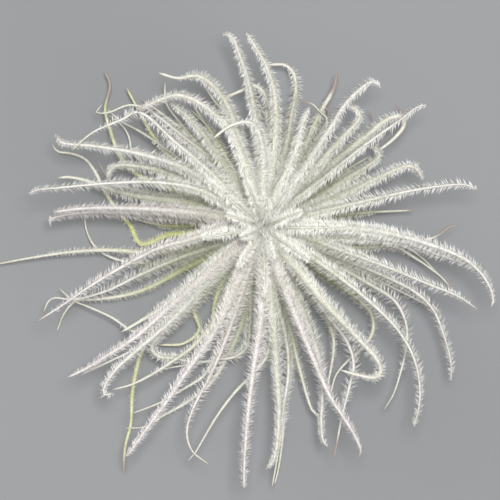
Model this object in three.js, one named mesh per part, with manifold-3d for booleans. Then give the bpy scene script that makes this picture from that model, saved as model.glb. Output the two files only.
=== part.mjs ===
// Sky plant rosette, Tillandsia tectorum, picked and resting on its own short stem.
// Millimetres, +Z up. The origin is the middle of the stem's flat underside.
// A leaf is given by its route in plan, read outwards from the stem; its height follows from
// its place in the stack, from the oldest leaves that lie on the surface to the newest on top.

import * as THREE from "three";
import { mergeVertices } from "three/addons/utils/BufferGeometryUtils.js";
import Module from "manifold-3d";

const DEGREE = Math.PI / 180;
const GOLDEN_ANGLE = 137.5 * DEGREE;

// Stem and the core of the heart
const STEM_HEIGHT = 20.4;
const STEM_FOOT_RADIUS = 5.2;
const STEM_TOP_RADIUS = 4.5;
const FOOT_CHAMFER = 0.6;
const SEAT_GAP = 0.3;
const CORE_RADIUS = 4.6;
const CORE_HEIGHT = 12;
const ROUND_SIDES = 24;

// Leaf sections: width and thickness at the base and at the tip
const BASE_WIDTH = { white: 3.8, green: 3, thin: 2.6, bud: 1.7 };
const TIP_WIDTH = 0.7;
const TAPER = 0.85;
const NECK_WIDTH = 0.65;
const NECK_LENGTH = 7;
const BASE_THICKNESS = 1.1;
const TIP_THICKNESS = 0.75;
const MARGIN_THICKNESS = 0.75;
const GUTTER_DEPTH = 0.35;
const SECTION_SIDES = 6;

// Stations along a leaf: fine samples for its length, and the longest step between sections
const SAMPLES = 12;
const LONGEST_STEP = 10;

// How a leaf arches: height and slope where it leaves the stem, and slope at the reach
const REACH = 65;
const OUTER_ARCH = { height: [3.4, 18.6], slope: [10, 43], endSlope: [-22, -10] };
const INNER_ARCH = { height: [21.6, 28], slope: [46, 62], endSlope: [-9, -6] };
const BUD_ARCH = { height: [28, 30], slope: [70, 82], endSlope: [-10, 20] };
const STEEPEST_FALL = -60;

// Roots of the inner leaves in the core, and the slim young leaves of the bud in its middle
const INNER_ROOT_RADIUS = [3.6, 1];
const BUD_LEAVES = 13;
const BUD_REACH = [24, 7];
const BUD_ROOT_RADIUS = 0.8;

const COLOURS = { white: 0xe3e7df, green: 0xccd2a8, thin: 0xd9d8c6, heart: 0xdfe5d6, stem: 0x8b7a5a };

// Outer leaves, lowest first: kind, then the route in plan as x, y pairs
const OUTER_LEAVES = [
  ["green", [-18, 7.5, -27, 9.5, -33, 10.8]],
  ["green", [-18, -14.5, -30, -25, -34.5, -32.5, -37.5, -40, -39.5, -50, -40, -59.5, -41.8, -67,
    -42.3, -74.7]],
  ["green", [-20, -1.5, -28.5, -2, -36.8, -4.8, -40, 0.8, -45, 6.8, -48.5, 12.5, -51, 17.5, -54, 21.2,
    -58, 22.8, -62.6, 23.6, -63.9, 25.6]],
  ["green", [-20, 27, -28, 33, -33.4, 37.1, -36.8, 39.2]],
  ["green", [20, 13.5, 26.7, 18.3, 32.5, 21.7]],
  ["thin", [3, 14, 2, 31.5, 0.8, 34.6, -0.9, 38.3]],
  ["thin", [20, -3.5, 42, -5, 48.5, -8.8, 54.7, -15]],
  ["thin", [-22, 12, -34, 18, -39.5, 23.5, -40.3, 27.5, -42.2, 31, -46.5, 34.3]],
  ["thin", [-15, -6, -30, -10.3, -41, -10.2, -47, -8.3, -51, -5.3, -53.4, -0.5, -54, 4.2]],
  ["green", [-14, -15.5, -20.8, -23.5, -19, -30.8, -23.5, -34.9, -31, -35.5]],
  ["green", [-15, 1, -28, 0.7, -35, 1.8, -40, 3.4]],
  ["thin", [9, 15.5, 17, 28, 20.2, 34, 19.9, 37.3, 18.7, 39.9]],
  ["green", [-4, -16, -5.5, -27, -10, -38, -16, -47.5, -23, -53, -30, -57, -36, -60.6, -41.6, -61]],
  ["thin", [-8, 17, -17, 31.5, -21.5, 38, -24.1, 41.7]],
  ["green", [-26, 20, -33, 28, -37, 35, -41, 42.5]],
  ["green", [-12, -6, -25, -13, -33, -17.4, -40, -20, -50, -21.6, -56.5, -22.2, -60, -25.8,
    -62.4, -31.4]],
  ["green", [-6, -7.5, -12, -16.5, -14.6, -24, -15, -31]],
  ["thin", [17, 15.5, 29, 26.5, 33.5, 31, 33.6, 33.8, 32, 35.8]],
  ["white", [20, -8, 35, -15.6, 45, -20.6, 50, -23.3, 53.9, -25.2]],
  ["thin", [15, 2.6, 28, 4.4, 38, 5.1, 46.2, 5.4]],
  ["green", [4, -18, 8.5, -34, 8.7, -42, 6.9, -54, 6.3, -63, 5, -73, 3.8, -78]],
  ["thin", [-12, 17, -24, 31, -29, 38, -29.3, 44.1]],
  ["green", [-20, 9, -38, 16.5, -43, 22, -46, 30, -47.5, 36, -46, 43.5, -47.7, 47.6]],
  ["green", [-15, -4.3, -27, -7, -35, -7.2, -47, -6.6, -58, -7.2, -70, -9, -82, -11.2]],
  ["white", [6, 20, 8.5, 32, 9.8, 38, 10.3, 43, 9.6, 46.8, 7, 49.3, 2, 49.4]],
  ["thin", [-15, -12, -30, -25, -38, -31.3, -41, -30, -45, -27.2, -52, -24, -57.3, -21.8,
    -61.4, -18.3]],
  ["thin", [15, -4, 30, -5.8, 40, -5.6, 46, -8.8, 54.5, -15, 57.8, -19.2]],
  ["thin", [20, 16.5, 34, 27.5, 42, 32.7, 42.3, 34.7, 40.4, 37.1]],
  ["green", [4, -13, 8, -28, 11, -41, 14, -52, 15.5, -55.5, 17, -56.5, 17.1, -61, 18.2, -65.4]],
  ["white", [-3, -15, -3.5, -28, -4.7, -36, -8, -38.7, -13, -39.6, -20, -40.8, -31, -42.7]],
  ["thin", [-20, 6.5, -38, 11.5, -45.5, 14, -49.2, 19.9]],
  ["thin", [-20, 17, -30, 24.7, -37, 29.3, -42.5, 32.3, -46.5, 35.8]],
  ["green", [9, -6.3, 20, -15, 29, -21.5, 33, -26, 33.4, -31, 31, -35.2, 26, -39.8, 22.3, -44.3,
    20.8, -49.5]],
  ["white", [10, 18, 15.2, 30, 17.8, 35.3, 20.2, 39.3, 21.8, 42.5, 22.6, 46.8]],
  ["green", [-10, 20, -16.6, 31, -21.5, 35.7]],
  ["white", [-11.6, -13.2, -24, -26, -32, -33.5, -33.2, -36.3, -31, -38.6, -26, -39.2, -19, -41]],
  ["white", [-12, -4.5, -25, -9, -37, -14.2, -47, -19, -57, -21.5, -62.5, -21, -64.3, -22,
    -65.7, -25.1]],
  ["white", [3, -16, 7, -32, 8, -42, 6.5, -54, 4.8, -68, 3.1, -78]],
  ["thin", [-6, -18, -12, -34, -17, -43.8, -24, -48.6, -30, -52.2, -39, -55.8]],
  ["white", [-14, 5, -25, 8, -38, 9.8, -46, 11.8, -53, 14.3, -58, 15.3, -61.2, 15.1]],
  ["white", [3, 30, 1, 40, -2, 42.7, -6, 41.3, -10.5, 39.4]],
  ["white", [10, -4.5, 22, -11, 33, -17.2, 40, -22, 43.2, -28.5, 43.4, -35, 41.7, -43, 39.5, -50,
    36.8, -54.6]],
  ["thin", [17, 25, 19.5, 32.8, 17.3, 35, 15, 37.3, 11, 38]],
  ["white", [15, 8, 25, 14.5, 32, 19, 35.2, 21.5, 34.5, 24, 32.5, 24]],
  ["green", [8, -10, 17, -23.5, 21, -31, 21.5, -36, 20.3, -44, 19, -50]],
  ["white", [-13, 18.6, -24, 27.8, -31, 33.3, -35, 36, -40, 36.8, -46, 34.6, -49.7, 34.6, -48, 37]],
  ["white", [-14, -10, -28, -22.5, -35, -27, -42, -31.1]],
  ["thin", [20, 0.8, 38, -0.8, 48, -3.6, 53, -2, 56, 0.3, 58.7, 1]],
  ["white", [1, -16, 2.5, -30, 1.5, -38, -2, -42.8, -8, -49, -13.5, -56.3, -17.5, -63, -20, -67.3,
    -22.1, -69.7]],
  ["white", [-12, 2, -25, 3.6, -40, 4.5, -53, 4.6, -60, 3.6, -63.3, 2.5, -63.3, 0.9]],
  ["green", [-8, -14.5, -15, -28.5, -20, -34.8, -27, -40, -33, -43.8, -39, -46.8, -44.7, -48.4]],
  ["white", [5.5, 18, 8, 28, 9, 35, 10, 38.8]],
  ["green", [-5, 18, -10.5, 34, -13.5, 37, -17.2, 42.4]],
  ["white", [12, 11.5, 22, 19.8, 31, 27.3, 38, 32.7, 42, 33.2, 42.5, 30.8, 39.5, 26.8, 35, 23.2]],
  ["white", [12, -4.5, 25, -9.5, 38, -15, 46, -19.3, 51, -24.3, 54.3, -32, 56.4, -40, 56.6, -45.6]],
  ["white", [6, -12, 13, -27, 17, -39, 18, -50, 17.6, -58, 18.2, -63.5, 19.5, -65.3]],
  ["white", [-15, 9.5, -30, 17, -38, 18.5, -43, 18.7, -45.7, 16.8, -46, 14.8]],
  ["white", [-14, -12, -28, -27, -37, -35.5, -45, -39.6, -53.9, -43.8]],
];

// Inner leaves, lowest first, which grow together with the heart
const INNER_LEAVES = [
  ["white", [9, -11.5, 19, -25.5, 25.3, -34, 27.2, -40.5, 25.8, -47.5, 23.6, -56.5, 22.3, -63.5,
    21.3, -68.5]],
  ["white", [15, 5.5, 28, 11.7, 37, 16.1, 43.3, 18.4, 46, 17.3, 47.7, 14.3]],
  ["white", [-8, 14, -17.5, 27.8, -22.5, 33.2, -27, 36.8]],
  ["white", [15, -1.5, 30, -2.8, 42, -4.2, 52, -7.8, 61, -11]],
  ["white", [10, 11, 19.5, 22, 25, 28, 28.6, 32, 28.9, 34.2, 27, 35.6, 24.8, 36]],
  ["white", [-13, -12.5, -27, -27.5, -38.5, -37.5, -44, -42.7, -47, -48, -46.8, -49.5, -44.1, -49.1]],
  ["white", [-5, 20, -8.3, 31.5, -10.5, 36.8, -14, 41.5, -19, 45, -25, 44.3, -30.5, 45.8]],
  ["white", [-5, -16, -10, -31, -15.5, -44, -20.2, -53, -22.3, -60.5, -20.8, -66, -16, -70]],
  ["white", [-0.5, 22, -2.2, 34, -4.3, 44, -7, 52, -9, 56.5, -11.5, 57.4]],
  ["white", [2, -14, 3.6, -30, 4.3, -42, 5, -54, 4.3, -65, 3, -69.6, 1.6, -71.1]],
  ["white", [-12, 3, -25, 5, -40, 5.8, -53, 5.7, -61.9, 4.6]],
  ["white", [12, -2.5, 25, -7.2, 38, -12, 50, -17, 58, -20.3, 63.9, -24.3]],
  ["white", [15, 4.3, 30, 7.8, 42, 10.5, 52, 12.2, 60, 12.7, 63.3, 11.4]],
  ["white", [10, 8.5, 20, 16.2, 30, 24.2, 40, 31.3, 46.5, 35.9, 48.4, 36.1]],
  ["white", [3.3, 20, 4.1, 34, 3.2, 42, 0.6, 49, -2, 53.3, -4.5, 57.4]],
  ["white", [-20, 16, -35, 21.5, -50, 24.1, -59.5, 25.3, -60.8, 27.6]],
  ["white", [-13, -10.5, -27, -23, -38, -32.7, -46, -37.8, -52, -41.5, -57.3, -44.1]],
  ["white", [-6.5, -14, -13.5, -29.5, -22, -42, -29, -52.3, -35, -60.5, -39.9, -67.4]],
  ["white", [8, 11, 14.2, 20.3, 20, 29.3, 24.6, 36.6, 28.5, 40.5, 32, 42.9, 34.2, 42.2, 34.7, 41.2]],
  ["white", [9, -5, 20, -12.5, 32, -22, 40, -30.2, 44.5, -38, 46.4, -46.5, 46, -54, 44.7, -58.7]],
  ["white", [-7, 0.8, -14, -0.5, -20, -3, -30, -5.8, -40, -10.8, -50, -16.8, -58, -22.3, -66.7, -27.9]],
  ["white", [12, 0.3, 25, 0, 38, -1.8, 50, -5.2, 60, -9.5, 65, -14.2, 67.4, -18.5, 68, -21.8,
    67.5, -23.1]],
  ["white", [0, -14, -0.5, -28, -2.5, -41, -4.2, -55, -5.2, -68, -5.4, -76.6]],
  ["white", [4, -11, 9.5, -25, 15, -38.5, 20, -49.8, 25, -57.5, 28.3, -63.5, 29, -65.8, 28.3, -67.4]],
  ["white", [-15, 16, -25, 24.6, -36.5, 34, -41, 31.8, -50, 27.8, -55.8, 22.8]],
  ["white", [-12, 8, -20, 11.7, -32, 13.4, -45, 13, -60, 11.6, -66, 11, -68.5, 10]],
  ["white", [8, -9, 18, -21.5, 28, -32.3, 34, -39.3, 34.8, -42.3, 33.3, -43.9, 28, -43.2, 23, -41.8]],
  ["white", [-3, 13, -6, 21, -9.7, 29.3, -15, 34, -20, 37.4, -25, 38.8, -30, 37.4, -36.5, 34.2]],
  ["white", [5, 12, 9.5, 22, 12.3, 32, 13.8, 35.2]],
  ["white", [0.5, 12, 0.3, 22, -0.8, 27.5, -3, 30.7, -6, 31, -10, 29.5, -14.4, 26.1]],
];

const wasm = await Module();
wasm.setup();

const mix = (pair, t) => THREE.MathUtils.lerp(pair[0], pair[1], t);

const stemRadius = (z) => THREE.MathUtils.lerp(STEM_FOOT_RADIUS, STEM_TOP_RADIUS, z / STEM_HEIGHT);

// Slope and height at the start of a leaf, and its slope at the reach, for its tier from 0 to 1
function archOf(arch, tier) {
  return {
    height: mix(arch.height, tier),
    slope: mix(arch.slope, tier) * DEGREE,
    endSlope: mix(arch.endSlope, tier) * DEGREE,
  };
}

// Height at a run along the plan route, for a slope that falls evenly with the run
function heightAt(run, arch) {
  const fall = (arch.slope - arch.endSlope) / REACH;
  const slope = Math.max(arch.slope - fall * run, STEEPEST_FALL * DEGREE);
  return arch.height + Math.log(Math.cos(slope) / Math.cos(arch.slope)) / fall;
}

function thicknessAt(along) {
  return THREE.MathUtils.lerp(BASE_THICKNESS, TIP_THICKNESS, along);
}

function widthAt(along, run, kind) {
  const blade = THREE.MathUtils.lerp(BASE_WIDTH[kind], TIP_WIDTH, along ** TAPER);
  return blade * Math.min(1, THREE.MathUtils.lerp(NECK_WIDTH, 1, run / NECK_LENGTH));
}

// Sections of a leaf from base to tip: middle of the blade, and how far along it lies
function stationsOf(route, startRadius, arch) {
  const start = Math.atan2(route[1], route[0]);
  const points = [new THREE.Vector3(startRadius * Math.cos(start), startRadius * Math.sin(start), 0)];
  for (let i = 0; i < route.length; i += 2) {
    points.push(new THREE.Vector3(route[i], route[i + 1], 0));
  }
  const pieces = points.length - 1;
  const samples = new THREE.CatmullRomCurve3(points).getPoints(pieces * SAMPLES);
  const runs = [0];
  for (let i = 1; i < samples.length; i++) {
    runs.push(runs[i - 1] + samples[i].distanceTo(samples[i - 1]));
  }
  const total = runs[runs.length - 1];
  const picks = [0];
  for (let i = 0; i < pieces; i++) {
    const parts = Math.ceil(points[i].distanceTo(points[i + 1]) / LONGEST_STEP);
    for (let part = 1; part <= parts; part++) {
      picks.push(i * SAMPLES + Math.round((SAMPLES * part) / parts));
    }
  }
  return picks.map((pick) => {
    const along = runs[pick] / total;
    const lowest = thicknessAt(along) / 2;
    const z = Math.max(heightAt(runs[pick], arch), lowest);
    return { middle: new THREE.Vector3(samples[pick].x, samples[pick].y, z), along, run: runs[pick] };
  });
}

// A blade: a six-sided bar bent along its stations, flat, slightly channelled above, and tapered
function bladeGeometry(stations, kind) {
  const steps = stations.length - 1;
  const blade = new THREE.CylinderGeometry(1, 1, 1, SECTION_SIDES, steps);
  blade.deleteAttribute("normal");
  blade.deleteAttribute("uv");
  const up = new THREE.Vector3(0, 0, 1);
  const frames = stations.map((station, i) => {
    const before = stations[Math.max(i - 1, 0)].middle;
    const after = stations[Math.min(i + 1, steps)].middle;
    const ahead = after.clone().sub(before).normalize();
    const side = ahead.clone().cross(up).normalize();
    return { side, above: side.clone().cross(ahead) };
  });
  const position = blade.attributes.position;
  for (let i = 0; i < position.count; i++) {
    const step = Math.round((position.getY(i) + 0.5) * steps);
    const { middle, along, run } = stations[step];
    const across = position.getX(i) / Math.cos(30 * DEGREE);
    const lift = position.getZ(i);
    const face = Math.sign(lift) * THREE.MathUtils.lerp(1, MARGIN_THICKNESS, Math.abs(across));
    const centred = Math.abs(lift) < 1e-6 ? 0 : face;
    const sag = GUTTER_DEPTH * (1 - along) * across * across;
    const point = middle.clone();
    point.addScaledVector(frames[step].side, (across * widthAt(along, run, kind)) / 2);
    point.addScaledVector(frames[step].above, (centred * thicknessAt(along)) / 2 + sag);
    position.setXYZ(i, point.x, point.y, Math.max(point.z, 0));
  }
  return mergeVertices(blade);
}

function outerLeaf(kind, route, tier) {
  const arch = archOf(OUTER_ARCH, tier);
  const reachIn = (BASE_THICKNESS / 2) * Math.sin(arch.slope);
  const startRadius = stemRadius(arch.height) + SEAT_GAP + reachIn;
  return bladeGeometry(stationsOf(route, startRadius, arch), kind);
}

function innerLeaf(kind, route, tier) {
  return bladeGeometry(stationsOf(route, mix(INNER_ROOT_RADIUS, tier), archOf(INNER_ARCH, tier)), kind);
}

// Slim young leaves of the bud, each a golden angle round from the last and more upright
function budLeaf(index) {
  const tier = index / (BUD_LEAVES - 1);
  const angle = index * GOLDEN_ANGLE;
  const route = [0.4, 0.7, 1].flatMap((part) => {
    const radius = mix(BUD_REACH, tier) * part;
    return [radius * Math.cos(angle), radius * Math.sin(angle)];
  });
  return bladeGeometry(stationsOf(route, BUD_ROOT_RADIUS, archOf(BUD_ARCH, tier)), "bud");
}

function latheSolid(profile) {
  const turned = new THREE.LatheGeometry(profile.map(([r, z]) => new THREE.Vector2(r, z)), ROUND_SIDES);
  turned.deleteAttribute("normal");
  turned.deleteAttribute("uv");
  return mergeVertices(turned.rotateX(Math.PI / 2));
}

// Short woody stem, cut flat below, that carries every leaf
function stemGeometry() {
  return latheSolid([
    [0, 0],
    [STEM_FOOT_RADIUS - FOOT_CHAMFER, 0],
    [STEM_FOOT_RADIUS, FOOT_CHAMFER],
    [stemRadius(STEM_HEIGHT / 2), STEM_HEIGHT / 2],
    [STEM_TOP_RADIUS, STEM_HEIGHT - FOOT_CHAMFER],
    [STEM_TOP_RADIUS - FOOT_CHAMFER, STEM_HEIGHT],
    [0, STEM_HEIGHT],
  ]);
}

// Swollen core of the heart, standing on the stem
function coreGeometry() {
  const foot = STEM_HEIGHT + SEAT_GAP;
  return latheSolid([
    [0, foot],
    [STEM_TOP_RADIUS - FOOT_CHAMFER, foot],
    [CORE_RADIUS, foot + CORE_HEIGHT * 0.15],
    [CORE_RADIUS, foot + CORE_HEIGHT * 0.4],
    [CORE_RADIUS * 0.75, foot + CORE_HEIGHT * 0.75],
    [CORE_RADIUS * 0.35, foot + CORE_HEIGHT * 0.95],
    [0, foot + CORE_HEIGHT],
  ]);
}

function toManifold(geometry) {
  return new wasm.Manifold(
    new wasm.Mesh({
      numProp: 3,
      vertProperties: new Float32Array(geometry.attributes.position.array),
      triVerts: new Uint32Array(geometry.index.array),
    }),
  );
}

function fromManifold(solid) {
  const mesh = solid.getMesh();
  const geometry = new THREE.BufferGeometry();
  geometry.setAttribute("position", new THREE.BufferAttribute(mesh.vertProperties, 3));
  geometry.setIndex(new THREE.BufferAttribute(mesh.triVerts, 1));
  return geometry;
}

// The heart: its core with the newest leaves and the bud grown together in one body
function heartGeometry() {
  const leaves = INNER_LEAVES.map(([kind, route], i) => {
    return innerLeaf(kind, route, i / (INNER_LEAVES.length - 1));
  });
  const bud = Array.from({ length: BUD_LEAVES }, (_, i) => budLeaf(i));
  const core = toManifold(coreGeometry());
  return fromManifold([...leaves, ...bud].reduce((body, leaf) => body.add(toManifold(leaf)), core));
}

function addPiece(group, name, geometry, colour, roughness) {
  geometry.computeVertexNormals();
  const material = new THREE.MeshStandardMaterial({ color: colour, roughness, metalness: 0 });
  const mesh = new THREE.Mesh(geometry, material);
  mesh.name = name;
  group.add(mesh);
}

const group = new THREE.Group();
addPiece(group, "stem", stemGeometry(), COLOURS.stem, 0.9);
addPiece(group, "heart", heartGeometry(), COLOURS.heart, 0.95);
OUTER_LEAVES.forEach(([kind, route], i) => {
  const name = `leaf_${String(i + 1).padStart(2, "0")}`;
  addPiece(group, name, outerLeaf(kind, route, i / (OUTER_LEAVES.length - 1)), COLOURS[kind], 0.95);
});

export default group;
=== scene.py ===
# A sky plant rosette, picked and resting on its own stem, seen from straight above.
# Settings and routes are in millimetres and degrees, unless a note says otherwise. Meshes are in metres.

import math
from random import Random

import bpy
import numpy as np
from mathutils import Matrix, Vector


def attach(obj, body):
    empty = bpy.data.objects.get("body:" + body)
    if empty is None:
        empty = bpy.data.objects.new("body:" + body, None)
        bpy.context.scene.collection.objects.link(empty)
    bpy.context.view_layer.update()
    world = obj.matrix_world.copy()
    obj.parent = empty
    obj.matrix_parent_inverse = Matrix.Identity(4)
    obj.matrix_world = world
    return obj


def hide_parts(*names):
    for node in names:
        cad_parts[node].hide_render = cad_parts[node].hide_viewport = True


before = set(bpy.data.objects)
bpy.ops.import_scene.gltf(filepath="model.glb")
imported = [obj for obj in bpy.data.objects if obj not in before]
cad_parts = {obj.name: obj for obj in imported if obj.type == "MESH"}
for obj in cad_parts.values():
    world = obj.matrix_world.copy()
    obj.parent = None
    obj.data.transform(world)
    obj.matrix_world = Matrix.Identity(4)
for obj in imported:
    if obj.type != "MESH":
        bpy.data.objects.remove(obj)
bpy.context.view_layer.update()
millimetre = 0.001
degree = math.pi / 180


# Camera, floor and light

viewSettings = {
    "imageCentre": (-3.6, -6.6),  # in plan, at the middle of the picture
    "pictureWidth": 150,
    "focusHeight": 30,  # the height where that width is true
    "distance": 1.6,  # m from that height
    "clipEnd": 20,  # m
    "sensor": 36,
    "floorSize": 1.6,  # m
    "floorColour": (0.215, 0.218, 0.222, 1),
    "floorRoughness": 0.9,
    "floorSpecular": 0.2,
    "world": 0.4,
    "lampAim": (0, 0, 0.02),  # m
}

# Each lamp's place and width in m, and its watts
studioLamps = {
    "topLight": ((0.04, 0.09, 1.9), 0.22, 36),
    "sideLight": ((-0.75, 0.8, 0.5), 0.5, 6),
    "fillLight": ((0.9, -0.75, 0.45), 0.6, 7),
}


def newObject(name, data):
    holder = bpy.data.objects.new(name, data)
    bpy.context.scene.collection.objects.link(holder)
    return holder


def newMaterial(name, colour):
    material = bpy.data.materials.new(name)
    material.use_nodes = True
    material.diffuse_color = colour
    return material, material.node_tree, material.node_tree.nodes["Principled BSDF"]


def placeCamera(settings):
    camera = bpy.data.cameras.new("viewFromAbove")
    camera.sensor_width = settings["sensor"]
    camera.lens = settings["sensor"] * settings["distance"] / (settings["pictureWidth"] * millimetre)
    camera.clip_end = settings["clipEnd"]
    holder = newObject("viewFromAbove", camera)
    x, y = settings["imageCentre"]
    height = settings["focusHeight"] * millimetre + settings["distance"]
    holder.location = (x * millimetre, y * millimetre, height)
    bpy.context.scene.camera = holder


def studioLight(settings):
    bpy.context.scene.view_settings.view_transform = "Standard"
    world = bpy.data.worlds.new("studio")
    world.use_nodes = True
    background = world.node_tree.nodes["Background"]
    background.inputs["Color"].default_value = (1, 1, 1, 1)
    background.inputs["Strength"].default_value = settings["world"]
    bpy.context.scene.world = world
    for name, (place, size, watts) in studioLamps.items():
        light = bpy.data.lights.new(name, "AREA")
        light.shape = "DISK"
        light.size = size
        light.energy = watts
        holder = newObject(name, light)
        holder.location = place
        aim = Vector(settings["lampAim"]) - Vector(place)
        holder.rotation_euler = aim.to_track_quat("-Z", "Y").to_euler()


def plainFloor(settings):
    half = settings["floorSize"] / 2
    mesh = bpy.data.meshes.new("floor")
    corners = [(-half, -half, 0), (half, -half, 0), (half, half, 0), (-half, half, 0)]
    mesh.from_pydata(corners, [], [(0, 1, 2, 3)])
    material, _, shader = newMaterial("floorPaper", settings["floorColour"])
    shader.inputs["Base Color"].default_value = settings["floorColour"]
    shader.inputs["Roughness"].default_value = settings["floorRoughness"]
    shader.inputs["Specular IOR Level"].default_value = settings["floorSpecular"]
    mesh.materials.append(material)
    newObject("floor", mesh)


placeCamera(viewSettings)
studioLight(viewSettings)
plainFloor(viewSettings)
print("camera, light and floor placed")


# How a leaf runs: the same arches and sections as the solids it replaces

# An arch: height and slope at the root and slope at the end of the reach, on the lowest and topmost leaf
leafShape = {
    "reach": 65,
    "outerArch": {"height": (3.4, 18.6), "slope": (10, 43), "endSlope": (-22, -10)},
    "innerArch": {"height": (21.6, 28), "slope": (46, 62), "endSlope": (-9, -6)},
    "budArch": {"height": (28, 30), "slope": (70, 82), "endSlope": (-10, 20)},
    "steepestFall": -60,
    "neck": (0.65, 7),  # share of the width at the root, and the run over which it widens
    "thickness": (1.1, 0.75),  # at the root and at the tip
    "gutter": {"bud": 0, "white": 0.15},  # how far the margins stand up at the root
    "deepGutter": 0.35,  # the same on the other kinds
    "samples": 12,  # points on each stretch of a route
    "step": 1.5,  # between the rings of a blade
    "fewestSteps": 12,
    "rootInside": 0.8,  # how far a root sinks into what carries it
    "rootDip": 0.5,  # how much of its slope the sunk root keeps
    "rootGap": 0.3,  # between the stem and an outer leaf's flank
    "innerRoot": (3.6, 1),
    "budRoot": (0.8, 0.8),
    "stemRadius": (5.2, 4.5),
    "stemHeight": 20.4,
    "roll": 14,  # how far a blade may roll
    "rollWave": 4.5,  # radians of that roll's wave
}

# A blade's section, going round: across the blade, up through it
section = [
    (-1, 0.1), (-0.8, 0.62), (-0.42, 0.8), (-0.12, 0.92), (0.12, 0.92), (0.42, 0.8), (0.8, 0.62), (1, 0.1),
    (0.75, -0.6), (0.3, -0.95), (-0.3, -0.95), (-0.75, -0.6),
]


def mix(pair, share):
    return pair[0] + (pair[1] - pair[0]) * share


def archOf(name, tier):
    arch = leafShape[name]
    return mix(arch["height"], tier), mix(arch["slope"], tier) * degree, mix(arch["endSlope"], tier) * degree


def heightAt(run, arch):
    height, slope, endSlope = arch
    fall = (slope - endSlope) / leafShape["reach"]
    here = np.maximum(slope - fall * run, leafShape["steepestFall"] * degree)
    return height + np.log(np.cos(here) / math.cos(slope)) / fall


def splinePiece(before, start, end, after, samples):
    # One stretch of a smooth curve through the points of a route, without its first point
    gaps = [math.sqrt(math.dist(a, b)) for a, b in ((before, start), (start, end), (end, after))]
    first = (start - before) / gaps[0] - (end - before) / (gaps[0] + gaps[1]) + (end - start) / gaps[1]
    last = (end - start) / gaps[1] - (after - start) / (gaps[1] + gaps[2]) + (after - end) / gaps[2]
    first, last = first * gaps[1], last * gaps[1]
    t = (np.arange(1, samples + 1) / samples)[:, None]
    bend = -3 * start + 3 * end - 2 * first - last
    turn = 2 * start - 2 * end + first + last
    return start + first * t + bend * t**2 + turn * t**3


def lengthsAlong(points):
    # How far along its line each point is
    return np.concatenate([[0], np.cumsum(np.linalg.norm(np.diff(points, axis=0), axis=1))])


def midline(route, startRadius, archName, tier):
    # Middle of the blade at even steps from root to tip, with each one's share of the way and run in plan
    points = np.array(route, float).reshape(-1, 2)
    outward = points[0] / np.linalg.norm(points[0])
    points = np.vstack([outward * startRadius, points])
    ends = np.vstack([2 * points[0] - points[1], points, 2 * points[-1] - points[-2]])
    pieces = [points[:1]]
    for i in range(len(points) - 1):
        pieces.append(splinePiece(*ends[i : i + 4], leafShape["samples"]))
    plan = np.vstack(pieces)
    run = lengthsAlong(plan)
    arch = archOf(archName, tier)
    thickness = mix(leafShape["thickness"], run / run[-1])
    solid = np.column_stack([plan, np.maximum(heightAt(run, arch), thickness / 2)])
    sunk = -outward * leafShape["rootInside"]
    dip = -leafShape["rootInside"] * math.tan(arch[1]) * leafShape["rootDip"]
    solid = np.vstack([solid[0] + np.append(sunk, dip), solid])
    run = np.append(0, run)
    length = lengthsAlong(solid)
    steps = max(leafShape["fewestSteps"], round(length[-1] / leafShape["step"]))
    even = np.linspace(0, length[-1], steps + 1)
    line = np.column_stack([np.interp(even, length, solid[:, k]) for k in range(3)])
    runs = np.interp(even, length, run)
    return line, runs / run[-1], runs


def bladeFrames(line, rollAmount, phase):
    # Directions along, across and up through the blade at each step, with a slow roll
    ahead = np.gradient(line, axis=0)
    ahead /= np.linalg.norm(ahead, axis=1)[:, None]
    side = np.cross(ahead, (0, 0, 1))
    side /= np.linalg.norm(side, axis=1)[:, None]
    above = np.cross(side, ahead)
    share = np.linspace(0, 1, len(line))
    roll = rollAmount * np.sin(phase + leafShape["rollWave"] * share) * share
    turned = side * np.cos(roll)[:, None] + above * np.sin(roll)[:, None]
    return ahead, turned, np.cross(turned, ahead)


# Looks of the kinds of leaf

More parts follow.
